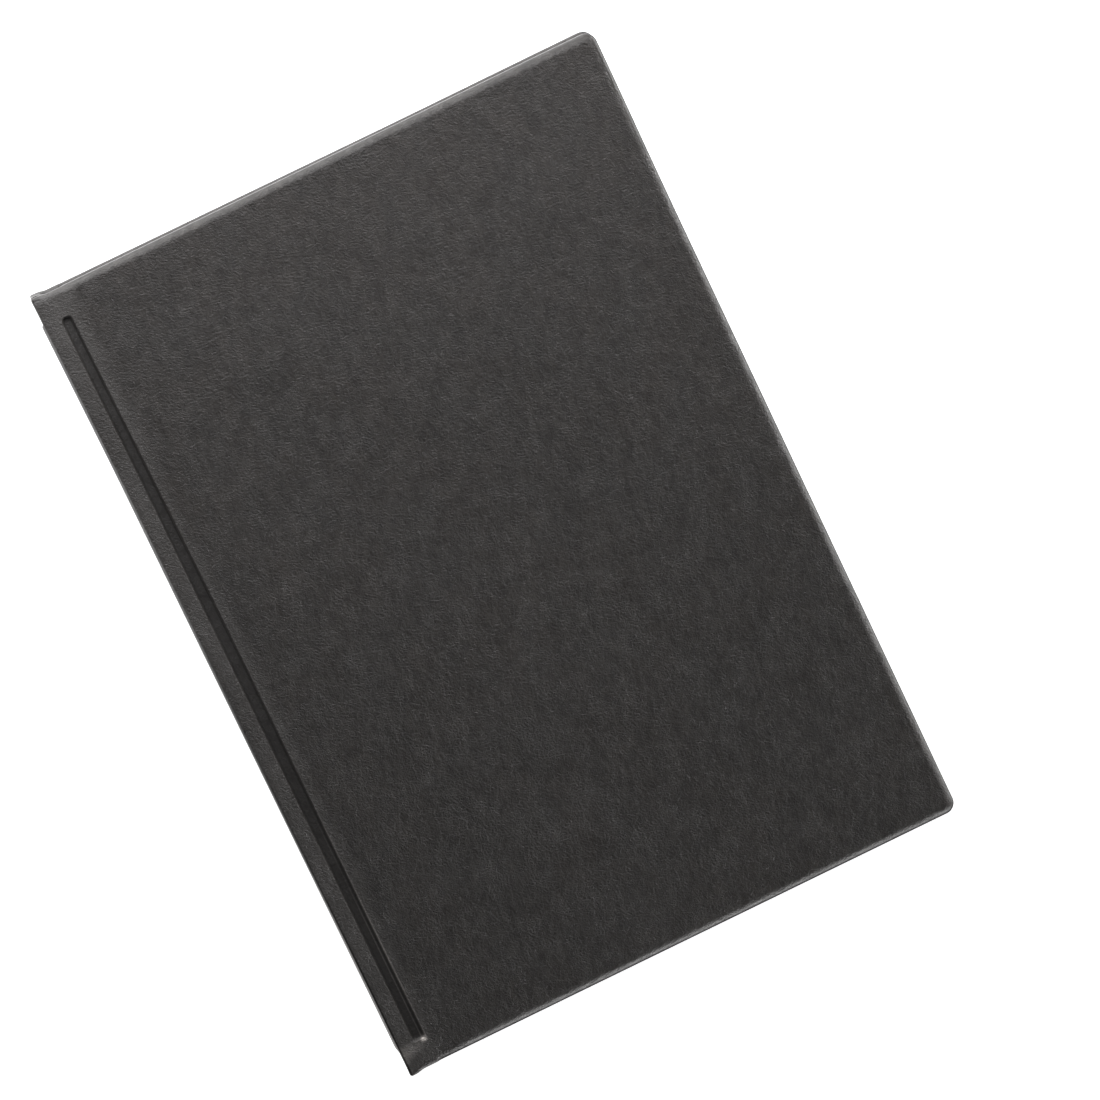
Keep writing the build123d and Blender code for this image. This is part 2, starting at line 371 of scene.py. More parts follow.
def leatherette(name, tone=1.0, grain=1.0, skin=False):
    """Black coated cloth with a fine wavy grain.

    A skin has its grain at rest_place and follows what keep_wear_and_painted_light stores: it is
    flatter, and darkened with painted shade, where it is pressed into the groove; smooth where it
    is stretched over an edge; dull and darkened with painted shade under the tail's edge, the
    fore-edge and in the spine's crease; paler with wear on the band; and brightened with painted
    highlights on the groove's rims and lower end, on the spine and on its tail corner.
    """
    n = Nodes(name)
    at = n.attribute("rest_place", "Vector") if skin else n.coords()

    def streaks(stretch, scale, detail, roughness=0.6, shift=(0, 0, 0)):
        turned = n.stretched(at, (stretch, 1, 1), MOTTLE_TURN, shift)
        return n.noise(turned, scale, detail, roughness)

    wander = n.noise(at, 60.0, detail=1.0, out="Color")
    warped = n.moved(at, wander, 0.002)
    waves = n.noise(n.stretched(warped, (1.35, 1, 1.2), GRAIN_TURN), 1700.0, 2.0, 0.6, 0.1)
    pebbles = n.cells(warped, 1800.0)
    speckle = n.noise(warped, 2800.0, detail=1.0)
    patch = n.spread(streaks(1.5, 150.0, 2.0), 0.34, 0.66, 0.7, 1.0)
    crest = n.times(n.spread(waves, 0.15, 0.85), patch)
    height = n.minus(crest, n.times(pebbles, 0.3))
    height = n.plus(n.times(height, 0.8), n.times(speckle, 0.5))
    swell = streaks(1.7, 330.0, 3.0)
    if skin:
        pressed, stretched = n.attribute("pressed"), n.attribute("stretched")
        wear_and_highlight, painted_shade = n.attribute("wear_and_highlight"), n.attribute("painted_shade")
        height = n.faded(n.faded(height, pressed, 0.45), stretched, 0.35)
        swell = n.faded(swell, stretched, 0.15)
    normal = n.bump(height, GRAIN_HEIGHT * grain)
    normal = n.bump(swell, SWELL_HEIGHT, 0.6, normal)

    cool = streaks(1.3, 60.0, 3.0)
    mottle = streaks(1.6, 470.0, 3.0, 0.7)
    cloud = streaks(1.4, 210.0, 2.0, shift=(0.13, 0.41, 0.0))
    blotch = n.noise(n.stretched(at, shift=(0.31, 0.17, 0.0)), 17.0, roughness=0.6)
    mottled = n.plus(n.spread(mottle, 0.36, 0.66), n.times(n.spread(blotch, 0.35, 0.7), 0.25))
    mottled = n.plus(n.times(mottled, 0.75), n.times(n.spread(cloud, 0.3, 0.7), 0.5))
    base = n.mix(n.spread(cool, 0.42, 0.58), shaded(WARM_DARK, tone), shaded(COOL_DARK, tone))
    worn_and_sheen = n.mix(n.spread(cool, 0.36, 0.62), shaded(WARM_WORN_AND_SHEEN, tone), shaded(COOL_WORN_AND_SHEEN, tone))
    base = n.mix(n.times(mottled, 0.75, clamp=True), base, worn_and_sheen)
    # Painted sheen: the grain's crests are made paler, partly as wear on the crests and partly in
    # place of their shine.
    base = n.mix(n.times(height, 0.55, clamp=True), base, worn_and_sheen)
    rough = n.plus(n.times(mottle, 0.6), n.times(crest, 0.25))
    rough = n.spread(rough, 0.2, 0.7, 0.60, 0.46, smooth=False)
    shine = n.spread(mottled, 0.0, 1.2, 0.53, 0.61, smooth=False)
    if skin:
        uneven = n.noise(n.stretched(at, (1, 3, 1)), 45.0, roughness=0.6)
        wear_and_highlight = n.times(wear_and_highlight, n.spread(uneven, 0.3, 0.7, 0.35, 1.0))
        # Paler with wear on the band, and with the painted highlights.
        base = n.mix(n.times(wear_and_highlight, 1.0, clamp=True), base, shaded(PALE_WEAR_AND_HIGHLIGHT, tone))
        # Painted glints where the value runs high, and a bright painted spot at the groove's lower
        # end.
        painted_glint = n.times(n.minus(wear_and_highlight, 0.9, clamp=True), n.spread(speckle, 0.3, 0.6, 0.5, 1.0))
        base = n.mix(painted_glint, base, shaded(PALE_WEAR_AND_HIGHLIGHT, 4.0 * tone))
        base = n.mix(n.minus(wear_and_highlight, 2.6, clamp=True), base, shaded(PALE_WEAR_AND_HIGHLIGHT, 11.0 * tone))
        # Painted shade: the groove is mixed towards near-black as it deepens.
        base = n.mix(n.times(pressed, 0.4), base, shaded(SHADE_BLACK, tone))
        # Painted shade under the tail's edge, the fore-edge and in the spine's crease: near-black,
        # rougher and with less shine.
        base = n.mix(painted_shade, base, shaded(SHADE_BLACK, tone))
        rough = n.plus(rough, n.times(pressed, 0.10))
        rough = n.minus(rough, n.times(stretched, 0.19))
        rough = n.plus(rough, n.times(painted_shade, 0.2))
        shine = n.faded(n.faded(shine, pressed, 0.94), painted_shade, 0.12)
    return n.finish(base, rough, normal, shine)


CLOTH_TONE = (0.014, 0.014, 0.015)
THREAD_PITCH = 0.5 * MM


def cloth(name, at_rest=False):
    """Fine plain-woven black cloth."""
    n = Nodes(name)
    at = n.attribute("rest_place", "Vector") if at_rest else n.coords()
    x, y, z = n.axes(at)
    wobble = n.times(n.noise(at, 900.0, detail=2.0), 0.9)
    threads = 2 * math.pi / THREAD_PITCH
    warp = n.math("SINE", n.plus(n.times(y, threads), wobble))
    weft = n.math("SINE", n.plus(n.times(n.plus(x, z), threads), wobble))
    weave = n.times(warp, weft)
    fuzz = n.noise(at, 240.0, detail=4.0, roughness=0.6)
    height = n.plus(n.times(weave, 0.35), n.times(fuzz, 0.3))
    light = tuple(1.7 * c + 0.006 for c in CLOTH_TONE)
    shown = n.spread(n.plus(n.times(weave, 0.2), fuzz), 0.25, 0.8)
    return n.finish(n.mix(shown, CLOTH_TONE, light), 0.8, n.bump(height, 0.12 * MM, 0.6), 0.35)


def paper(name, color, light, fibre=1.0, rough=0.75):
    """Lined or bare board with fibres and faint mottling."""
    n = Nodes(name)
    at = n.coords()
    fibres = n.noise(n.stretched(at, (3.5, 1, 1)), 1500.0 * fibre, 3.0, 0.7, 0.8)
    mottle = n.noise(at, 55.0, detail=4.0, roughness=0.55)
    shown = n.spread(n.plus(n.times(fibres, 0.6), n.times(mottle, 0.4)), 0.3, 0.7)
    sheen = n.spread(fibres, 0.3, 0.7, rough + 0.06, rough - 0.06)
    return n.finish(n.mix(shown, color, light), sheen, n.bump(fibres, 0.08 * MM, 0.5))


def metal(name, color, rough):
    """Plated sheet metal with fine turning marks and tarnish."""
    n = Nodes(name)
    at = n.coords()
    marks = n.noise(n.stretched(at, (1, 1, 8)), 4000.0, roughness=0.6)
    stain = n.noise(at, 260.0, detail=4.0, roughness=0.6)
    tint = n.mix(n.spread(stain, 0.4, 0.68), color, shaded(color, 0.62))
    sheen = n.spread(marks, 0.3, 0.7, rough - 0.08, rough + 0.1)
    return n.finish(tint, sheen, n.bump(marks, 0.03 * MM, 0.35), metallic=1.0)


BRAID_DARK, BRAID_LIGHT = (0.006, 0.006, 0.007), (0.030, 0.030, 0.033)
BRAID_PITCH = 1.1 * MM
BRAID_STRANDS = 4.0


def braid(name):
    """Black elastic braid around a cord that runs along Y."""
    n = Nodes(name)
    at = n.coords()
    x, y, z = n.axes(at)
    x = n.minus(x, MM * (CORD_X - COVER_WIDTH / 2))
    z = n.minus(z, MM * MID_HEIGHT)
    turn = n.times(n.math("ARCTAN2", z, x), BRAID_STRANDS)
    along = n.times(y, 2 * math.pi / BRAID_PITCH)
    left = n.math("SINE", n.plus(along, turn))
    right = n.math("SINE", n.minus(along, turn))
    fuzz = n.noise(at, 2600.0, roughness=0.6)
    height = n.plus(n.times(n.times(left, right), 0.5), n.times(fuzz, 0.4))
    tint = n.mix(n.spread(height, -0.3, 0.7), BRAID_DARK, BRAID_LIGHT)
    rough = n.spread(fuzz, 0.3, 0.7, 0.62, 0.78)
    return n.finish(tint, rough, n.bump(height, 0.14 * MM, 0.8), 0.4)


FOAM_LIGHT, FOAM_PORE, FOAM_STAIN = (0.62, 0.61, 0.57), (0.38, 0.37, 0.34), (0.5, 0.47, 0.40)


def foam(name):
    """Open-celled foam sheet."""
    n = Nodes(name)
    at = n.coords()
    pores = n.cells(at, 1400.0)
    tint = n.mix(n.spread(pores, 0.1, 0.6), FOAM_LIGHT, FOAM_PORE)
    tint = n.mix(n.times(n.noise(at, 90.0), 0.3), tint, FOAM_STAIN)
    return n.finish(tint, 0.9, n.bump(pores, 0.2 * MM, 0.6))


def dress(material, *names):
    for name in names:
        mesh = nodes[name].data
        mesh.materials.clear()
        mesh.materials.append(material)


def dress_cad_nodes():
    """Gives every CAD node its material, also the ones that a piece of this file stands for."""
    board = paper("greyboard", (0.30, 0.28, 0.25), (0.42, 0.39, 0.35))
    filling = foam("wadding")
    card = paper("lining_paper", (0.044, 0.043, 0.0435), (0.066, 0.064, 0.064), 0.7, 0.66)
    covering = leatherette("pocket_leatherette", 1.1)
    lining = cloth("lining_cloth_cad")
    for side in ("back", "front"):
        dress(board, f"{side}_board")
        dress(filling, f"{side}_padding")
        dress(card, f"{side}_lining_card")
        dress(lining, f"{side}_joint_lining")
        dress(covering, f"{side}_covering", *(f"{side}_pocket_{corner}" for corner in POCKETS))
    dress(covering, "spine_covering")
    dress(filling, "spine_padding")
    dress(board, "spine_strip")
    dress(lining, "spine_lining", "elastic_cord")
    dress(metal("eyelet_metal", (0.16, 0.15, 0.14), 0.38), "cord_eyelets")
    dress(metal("anchor_metal", (0.45, 0.45, 0.46), 0.42), "cord_anchors")


# Meshes

def steps(*spans):
    """Evenly spaced values over each span (start, end, count), without repeats."""
    values = []
    for start, end, count in spans:
        values += [start + (end - start) * i / count for i in range(count)]
    values.append(spans[-1][1])
    return values


def smooth(value, low, high):
    t = min(1.0, max(0.0, (value - low) / (high - low)))
    return t * t * (3 - 2 * t)


def bell(distance, width):
    return math.exp(-(distance / width) ** 2)


def in_frame(side, x, y, depth):
    """A point of one cover as a place in the shared frame, in metres."""
    z = depth if side == "back" else CLOSED_THICKNESS - depth
    return (x - COVER_WIDTH / 2) * MM, y * MM, z * MM


def add_mesh(name, vertices, faces):
    mesh = bpy.data.meshes.new(name)
    mesh.from_pydata(vertices, [], faces)
    return add_object(name, mesh)


def grid_faces(rows, width):
    """Faces between the points of rows that are all this wide."""
    starts = [j * width + i for j in range(rows - 1) for i in range(width - 1)]
    return [(a, a + 1, a + width + 1, a + width) for a in starts]


def turn_outward(mesh, up, pick, merge=0.0, slivers=0.0):
    """Turns the faces so that the picked one looks up or down, once close points are joined."""
    bm = bmesh.new()
    bm.from_mesh(mesh)
    if merge:
        bmesh.ops.remove_doubles(bm, verts=bm.verts, dist=merge)
    if slivers:
        bmesh.ops.dissolve_degenerate(bm, edges=bm.edges, dist=slivers)
    if merge:
        bmesh.ops.recalc_face_normals(bm, faces=bm.faces)
    bm.normal_update()
    if pick(bm.faces).normal.z * up < 0:
        bmesh.ops.reverse_faces(bm, faces=bm.faces)
    bm.to_mesh(mesh)
    bm.free()


def thicken(piece, thickness):
    """Gives a sheet its thickness, away from the side that it shows."""
    modifier = piece.modifiers.new("thickness", "SOLIDIFY")
    modifier.thickness = thickness * MM
    modifier.offset = -1.0
    modifier.use_rim = True
    graph = bpy.context.evaluated_depsgraph_get()
    mesh = bpy.data.meshes.new_from_object(piece.evaluated_get(graph))
    piece.modifiers.clear()
    piece.data = mesh


def shade(piece, angle):
    """Shades a piece smooth, except at edges sharper than this many degrees."""
    for polygon in piece.data.polygons:
        polygon.use_smooth = True
    bm = bmesh.new()
    bm.from_mesh(piece.data)
    for edge in bm.edges:
        if len(edge.link_faces) == 2:
            edge.smooth = edge.calc_face_angle(0) < math.radians(angle)
    bm.to_mesh(piece.data)
    bm.free()


def keep_rest_places(piece):
    """Stores where each point is at rest, so that the grain stays put when the piece bends."""
    mesh = piece.data
    attribute = mesh.attributes.new("rest_place", "FLOAT_VECTOR", "POINT")
    places = np.zeros(len(mesh.vertices) * 3, np.float32)
    mesh.vertices.foreach_get("co", places)
    attribute.data.foreach_set("vector", places)


# Skins

def groove_depth(x, y):
    """How deep the pressed groove lies at a point of the face. It narrows towards the head."""
    across = abs(x - GROOVE_X) - GROOVE_WIDTH / 2 + GROOVE_CORNER_RADIUS
    if x > GROOVE_X:
        across += GROOVE_HEAD_NARROWING * smooth(y, 0, 115)
    along = abs(y) - (HALF - GROOVE_END_MARGIN) + GROOVE_CORNER_RADIUS
    outside = math.hypot(max(across, 0.0), max(along, 0.0))
    off = outside + min(max(across, along), 0.0) - GROOVE_CORNER_RADIUS
    return GROOVE_DEPTH * (1 - smooth(off, -0.5, 0.35))


def face_rise(x, y):
    """Outward swell of the padded face: soft hollows and a faint crown."""
    if x < FOLD_X:
        return 0.0
    inset = min(COVER_WIDTH - x, HALF - abs(y))
    wave = noise.noise(Vector((x * 0.021, y * 0.021, 3.7)))
    fine = noise.noise(Vector((x * 0.075, y * 0.075, 9.1)))
    panel = smooth(x, BOARD_X, BOARD_X + 9) * smooth(inset, 0.0, 9.0)
    band = 0.05 * noise.noise(Vector((x * 0.15, y * 0.06, 1.3))) * smooth(inset, 0, 6)
    return panel * (0.07 + 0.06 * wave + 0.018 * fine) + (0.05 + band) * smooth(inset, 0, 6)


def crown(y):
    """How far the spine's back bulges. It ends sharply at the head and softly at the tail."""
    fade = 0.6 if y > 0 else 2.4
    return SPINE_CROWN * (1 - 0.93 * smooth(abs(y), CROWN_END, CROWN_END + fade)) + 0.04


class Station:
    """A line of the skin that runs from tail to head, at one place of the section.

    inward points from the skin into the cover, and seat is where the turned-in end of the
    line lies. ear and spread are how far its ends stand out past the outline.
    """

    def __init__(self, x, depth, inward, seat, round_off, ear, spread):
        self.x, self.depth, self.inward, self.seat = x, depth, inward, seat
        self.round_off, self.ear, self.spread = round_off, ear, spread
        self.thickness = math.hypot(seat[0] - x, seat[1] - depth)

    def outer(self, y):
        """The outer surface's x and depth at this height."""
        out = 0.0
        if self.inward == (1.0, 0.0):
            reach = abs(self.depth - MID_HEIGHT) / (MID_HEIGHT - BEND_RADIUS)
            out = crown(y) * (1 - reach ** 3)
        elif self.on_face():
            out = face_rise(self.x, y) - groove_depth(self.x, y)
        out += self.spread * smooth(abs(y), HALF - 4, HALF)
        return self.x - out * self.inward[0], self.depth - out * self.inward[1]

    def on_face(self):
        return self.inward == (0.0, 1.0)

    def ear_at(self, y):
        return self.ear * smooth(abs(y), HALF - 6, HALF - 1)


def spine_stations():
    """From the spine's mid-line to the bend."""
    corner_depth = INNER_CORNER[1]
    found = []
    for depth in steps((MID_HEIGHT, SPINE_EDGE_DEPTH, 6), (SPINE_EDGE_DEPTH, BEND_RADIUS, 7)):
        edge = 1 - smooth(depth, BEND_RADIUS, SPINE_EDGE_DEPTH)
        share = (depth - BEND_RADIUS) / (MID_HEIGHT - BEND_RADIUS)
        seat = (INNER_SPINE_X, corner_depth + (MID_HEIGHT - corner_depth) * share)
        ear, spread = 0.4 * edge, 0.1 * edge
        found.append(Station(SPINE_CROWN, depth, (1.0, 0.0), seat, SPINE_ROLL, ear, spread))
    return found


def bend_stations():
    """Round the bend from the spine to the face."""
    corner_x, corner_depth = INNER_CORNER
    turn = corner_x - INNER_SPINE_X
    found = []
    for i in range(1, 8):
        angle = math.pi / 2 * i / 8
        inward = (math.cos(angle), math.sin(angle))
        x = SPINE_CROWN + BEND_RADIUS - BEND_RADIUS * inward[0]
        depth = BEND_RADIUS - BEND_RADIUS * inward[1]
        seat = (corner_x - turn * inward[0], corner_depth - turn * inward[1])
        found.append(Station(x, depth, inward, seat, SPINE_ROLL, 0.45, 0.15))
    return found


def face_stations():
    """From the bend over the band and the groove to the fore-edge's roll."""
    edge_x, band_x = SPINE_CROWN + BEND_RADIUS, 6.5
    places = steps((edge_x, 5.4, 11), (5.4, 10.8, 30), (10.8, 14.0, 8), (14.0, 24.0, 8),
                   (24.0, 160.0, 34), (160.0, COVER_WIDTH - CORNER_RADIUS, 9))
    found = []
    for x in places:
        edge = 1 - smooth(x, edge_x, 5.5)
        board = smooth(x, BOARD_X - 1.2, BOARD_X + 0.6)
        thickness = BAND_THICKNESS + (PANEL_THICKNESS - BAND_THICKNESS) * board
        share = max(0.0, (band_x - x) / (band_x - edge_x))
        seat = (x + (INNER_CORNER[0] - edge_x) * share, thickness)
        roll = BAND_ROLL + (PANEL_ROLL - BAND_ROLL) * board
        round_off = SPINE_ROLL * edge + (1 - edge) * roll
        found.append(Station(x, 0.0, (0.0, 1.0), seat, round_off, 0.45 * edge, 0.15 * edge))
    return found


# The last rows of an edge profile: the roll onto the inside and the turned-in margin
TURN_IN_ROWS = 11


def edge_profile(round_off, thickness):
    """Inset and depth of the skin as it wraps an edge, from the face to the turn-in's end."""
    wide = min(round_off * 1.3, CORNER_RADIUS - 0.1)
    wall = min(round_off, thickness - TURN_IN_ROLL)
    rows = [(CORNER_RADIUS + (wide - CORNER_RADIUS) * i / 4, 0.0) for i in range(1, 4)]
    for i in range(13):
        angle = math.pi / 2 * i / 12
        across = math.sin(angle) ** (2 / ROLL_POWER)
        down = math.cos(angle) ** (2 / ROLL_POWER)
        rows.append((wide * (1 - across), wall * (1 - down)))
    rows += [(0.0, wall + (thickness - TURN_IN_ROLL - wall) * i / 3) for i in range(1, 3)]
    for i in range(6):
        angle = math.pi / 2 * i / 5
        inset = TURN_IN_ROLL * (1 - math.cos(angle))
        rows.append((inset, thickness - TURN_IN_ROLL * (1 - math.sin(angle))))
    rows += [(inset, thickness) for inset in (2.2, CORNER_RADIUS, 6.5, 10.5, TURN_IN_WIDTH)]
    return rows


def splayed(side, x, y):
    """The slight splay of used covers near the head, where the back one stands further out."""
    near_head = smooth(y, HALF - 65, HALF)
    at_edge = smooth(y, HALF - 14, HALF - 2)
    across = x / COVER_WIDTH
    out_x = (0.38 * smooth(x, 140, COVER_WIDTH) - 0.5 * (1 - smooth(x, 0, 45))) * near_head
    out_y = -0.25 + 0.3 * across if side == "front" else 0.02 + 0.33 * smooth(x, 110, COVER_WIDTH)
    return x + out_x, y + out_y * at_edge


class SkinMesh:
    """The points and faces of one skin."""

    def __init__(self, side):
        self.side = side
        self.vertices, self.faces, self.index = [], [], {}

    def put(self, x, y, depth):
        """The number of the point at this place, which is made if it is new."""
        x, y = splayed(self.side, x, y)
        key = (round(x, 4), round(y, 4), round(depth, 4))
        if key not in self.index:
            self.index[key] = len(self.vertices)
            self.vertices.append(in_frame(self.side, x, y, depth))
        return self.index[key]

    def weave(self, rows):
        """Adds the faces between neighbouring rows, also where their points meet."""
        for a, b in zip(rows, rows[1:]):
            for i in range(len(a) - 1):
                corners = []
                for point in (a[i], a[i + 1], b[i + 1], b[i]):
                    if point not in corners:
                        corners.append(point)
                if len(corners) > 2:
                    self.faces.append(corners)


def sunk(drop, rise):
    """A depth down an edge, with the face's swell faded out."""
    return drop if drop > SWELL_FADE else drop - rise * (1 - drop / SWELL_FADE)


def end_point(station, inset, drop, sign, on_turn_in):
    """A point of a station's line where it wraps the head or the tail, as x, y and depth."""
    reach = min(HALF - inset, HALF)
    share = drop / station.thickness
    if station.on_face():
        x = min(station.x, COVER_WIDTH - inset) if inset > CORNER_RADIUS else station.x
        depth = drop * station.seat[1] / station.thickness
        if not on_turn_in:
            depth = sunk(depth, face_rise(x, reach) - groove_depth(x, reach))
        x += share * (station.seat[0] - station.x)
    else:
        base_x, base_depth = station.outer(sign * min(reach, HALF - 1.0))
        x = base_x + share * (station.seat[0] - base_x)
        depth = base_depth + share * (station.seat[1] - base_depth)
    return x, sign * (reach + station.ear_at(reach)), depth


def weave_face(skin, stations, heights):
    """The face and half of the spine. Gives back their lines from tail to head."""
    lines = []
    for station in stations:
        line = []
        for y in heights:
            x, depth = station.outer(y)
            line.append(skin.put(x, y + math.copysign(station.ear_at(y), y), depth))
        lines.append(line)
    skin.weave(lines)
    return lines


def weave_end(skin, stations, face_end, sign):
    """The edge and the turn-in at the head, or with sign -1 at the tail."""
    profiles = [edge_profile(station.round_off, station.thickness) for station in stations]
    count = len(profiles[0])
    rows = [face_end]
    for k in range(count):
        on_turn_in = k >= count - TURN_IN_ROWS
        rows.append([skin.put(*end_point(station, *profile[k], sign, on_turn_in))
                     for station, profile in zip(stations, profiles)])
    skin.weave(rows)


def weave_fore_edge(skin, face_end, heights):
    """The edge and the turn-in at the fore-edge."""
    rows = [face_end]
    for inset, drop in edge_profile(PANEL_ROLL, PANEL_THICKNESS):
        x = COVER_WIDTH - inset
        limit = HALF - inset if inset > CORNER_RADIUS else HALF
        places = [math.copysign(min(abs(y), limit), y) for y in heights]
        rows.append([skin.put(x, y, sunk(drop, face_rise(x, y))) for y in places])
    skin.weave(rows)


def weave_corner(skin, sign):
    """The rounded fore-edge corner at the head, or with sign -1 at the tail."""
    turns = 9
    profile = edge_profile(PANEL_ROLL, PANEL_THICKNESS)
    rows = []
    for inset, drop in [(CORNER_RADIUS, 0.0)] + [p for p in profile if p[0] <= CORNER_RADIUS]:
        row = []
        for i in range(turns + 1):
            angle = math.pi / 2 * i / turns
            x = COVER_WIDTH - CORNER_RADIUS + (CORNER_RADIUS - inset) * math.sin(angle)
            y = HALF - CORNER_RADIUS + (CORNER_RADIUS - inset) * math.cos(angle)
            rise = face_rise(min(x, COVER_WIDTH - inset), min(y, HALF - inset))
            row.append(skin.put(x, sign * y, sunk(drop, rise)))
        rows.append(row)
    skin.weave(rows)


def cover_skin(side):
    """Half of the leatherette: a cover's face, edges and turn-ins, a fold and half of the spine."""
    stations = spine_stations() + bend_stations() + face_stations()
    heights = steps((0.0, 100.0, 22), (100.0, 116.0, 8), (116.0, 125.5, 26),
                    (125.5, HALF - CORNER_RADIUS, 5))
    heights = [-y for y in reversed(heights[1:])] + heights
    skin = SkinMesh(side)
    lines = weave_face(skin, stations, heights)
    weave_end(skin, stations, [line[-1] for line in lines], 1)
    weave_end(skin, stations, [line[0] for line in lines], -1)
    weave_fore_edge(skin, lines[-1], heights)
    weave_corner(skin, 1)
    weave_corner(skin, -1)

    piece = add_mesh(f"{side}_skin", skin.vertices, skin.faces)
    up = 1 if side == "front" else -1

    def off_middle(face):
        """Least for the face at the middle of the cover's outside."""
        center = face.calc_center_median()
        return center.xy.length - 10 * up * center.z

    turn_outward(piece.data, up, lambda faces: min(faces, key=off_middle),
                 merge=0.01 * MM, slivers=0.001 * MM)
    thicken(piece, SKIN_THICKNESS)
    shade(piece, 40)
    keep_rest_places(piece)
    keep_wear_and_painted_light(piece)
    return piece


# Wear of the skins, and the light and shade painted on them

def pressed_at(x, y, depth):
    """How far a point lies down the groove."""
    return groove_depth(x, y) / GROOVE_DEPTH


def stretched_at(x, y, depth):
    """Where the skin is pulled smooth over an outer edge, less so at the tail's spine corner."""
    inset = min(HALF - abs(y), COVER_WIDTH - x)
    near_spine = (1 - smooth(x, 5, 26)) * smooth(-y, 0, 100)
    return (1 - smooth(inset, 0.8, 2.4)) * (1 - 0.7 * near_spine)


def painted_shade_at(x, y, depth):
    """Where shade is painted, since no light falls there: under the tail's edge and the fore-edge,
    and in the spine's crease.
    """
    at_tail = smooth(-y, HALF - 3, HALF - 1)
    at_fore = 0.5 * smooth(x, COVER_WIDTH - 3, COVER_WIDTH - 1)
    crease_x = SPINE_CROWN + 0.08 + 0.3 * smooth(-y, 55, 110)
    crease = bell(x - crease_x, 0.3) * smooth(-y, -60, 60) * (depth < 2)
    return max(smooth(depth, 0.4, 0.75) * at_tail, smooth(depth, 0.8, 1.4) * at_fore, crease)


def wear_and_highlight_at(x, y, depth):
    """How much wear pales the band, and where highlights are painted: on the groove's rims and
    lower end, on the spine and on its tail corner.
    """
    from_tail = y + HALF
    band = 0.75 * (1 - smooth(x, GROOVE_X + 1, GROOVE_X + 7))
    low = smooth(-y, -30, 110) * (1 - smooth(-y, HALF - 9.5, HALF - 8.5))
    # Painted highlights: the groove's rims, the spine's lower part, the tail corner and the
    # groove's lower end.
    outer_rim = 1.5 * low * bell(x - GROOVE_RIM_X, 0.3)
    inner_rim = 1.2 * low * bell(x - GROOVE_X - 0.75, 0.16)
    spine = 1.6 * smooth(-y, 30, 110) * bell(x - 0.25, 0.3)
    corner = 1.6 * bell(x - 0.5, 2.4) * bell(from_tail - 6.5, 3.0)
    corner += 1.3 * bell(x - 5.5, 3.6) * bell(from_tail - 7.4, 2.4)
    groove_end = 8.0 * bell(x - GROOVE_X - 1.2, 0.8)
    groove_end *= bell(from_tail - GROOVE_END_MARGIN + 0.5, 0.55)
    return band + outer_rim + inner_rim + spine + corner + groove_end


def keep_wear_and_painted_light(piece):
    """Stores at each point what the leatherette's material follows."""
    values = {"pressed": pressed_at, "stretched": stretched_at, "painted_shade": painted_shade_at,
              "wear_and_highlight": wear_and_highlight_at}
    for name, value_at in values.items():
        attribute = piece.data.attributes.new(name, "FLOAT", "POINT")
        for point, vertex in zip(attribute.data, piece.data.vertices):
            x, y, z = vertex.co / MM
            point.value = value_at(x + COVER_WIDTH / 2, y, MID_HEIGHT - abs(z - MID_HEIGHT))


# Hinge linings, pockets and cord

def run(start, end, count):
    """Points of a straight run in (x, depth)."""
    (x0, depth0), (x1, depth1) = start, end
    shares = [i / count for i in range(count + 1)]
    return [(x0 + (x1 - x0) * s, depth0 + (depth1 - depth0) * s) for s in shares]


def bend(center, radius, start, end, count):
    """Points of an arc in (x, depth), with angles in degrees."""
    points = []
    for i in range(count + 1):
        angle = math.radians(start + (end - start) * i / count)
        x, depth = center[0] + radius * math.cos(angle), center[1] + radius * math.sin(angle)
        points.append((x, depth))
    return points


def hinge_lining(side):
    """The cloth behind one fold.

    It runs from the board's inner face over its edge and along the band to the spine's mid-line.
    """
    on_board, on_band, on_spine = 4.7, 2.72, 3.9
    path = run((22.5, on_board), (10.6, on_board), 10)
    path += bend((10.45, 4.25), 0.45, 90, 180, 5)
    path += bend((9.7, 3.0), 0.3, 0, -90, 5)
    path += run((9.3, on_band), (3.75, on_band), 26)
    path += bend((3.6, 3.02), 0.3, -90, 0, 6)
    path += run((on_spine, 3.2), (on_spine, 4.6), 8)
    path += run((on_spine, 4.8), (on_spine, MID_HEIGHT), 3)
    heights = steps((-LINING_HALF, LINING_HALF, 60))
    vertices = [in_frame(side, x, y, depth) for y in heights for x, depth in path]
    name = f"{side}_hinge_lining"
    piece = add_mesh(name, vertices, grid_faces(len(heights), len(path)))
    turn_outward(piece.data, 1 if side == "back" else -1, lambda faces: next(iter(faces)))
    thicken(piece, LINING_THICKNESS)
    shade(piece, 60)
    keep_rest_places(piece)
    return piece


# A corner pocket: the hem and the lip of its open side, by the sum of the distances along both
# legs, and the roll of its two glued sides
HEM_START, HEM_SEAM, HEM_FULL = POCKET_LEG - 5.4, POCKET_LEG - 5.1, POCKET_LEG - 4.8
LIP_START, LIP_WIDTH, LIP_DROP = POCKET_LEG - 0.5, 0.5, 0.34
SIDE_ROLL = 0.55
SIDE_INSETS = (0.0, 0.06, 0.16, 0.32, 0.55, 0.9, 1.6, 3.0)


def rolled(share):
    """How far a quarter round has dropped, from 0 at its top to 1 at its side."""
    return 1 - math.sqrt(max(0.0, 1 - share ** 2))


def pocket_depth(total, near):
    """Depth of a pocket's face, by the sum of both distances and the distance to a glued side."""
    hem = smooth(total, HEM_START, HEM_FULL)
    puff = 0.10 * smooth(near, 0, 7) * smooth(POCKET_LEG - total, -2, 9)
    crease = 0.05 * bell(total - HEM_SEAM, 0.35)
    face = POCKET_FACE - 0.08 + 0.09 * hem + puff * (1 - hem) - crease
    side_drop = SIDE_ROLL * rolled(max(0.0, 1 - near / SIDE_ROLL))
    lip_drop = LIP_DROP * rolled(max(0.0, (total - LIP_START) / LIP_WIDTH))
    return face - side_drop - lip_drop


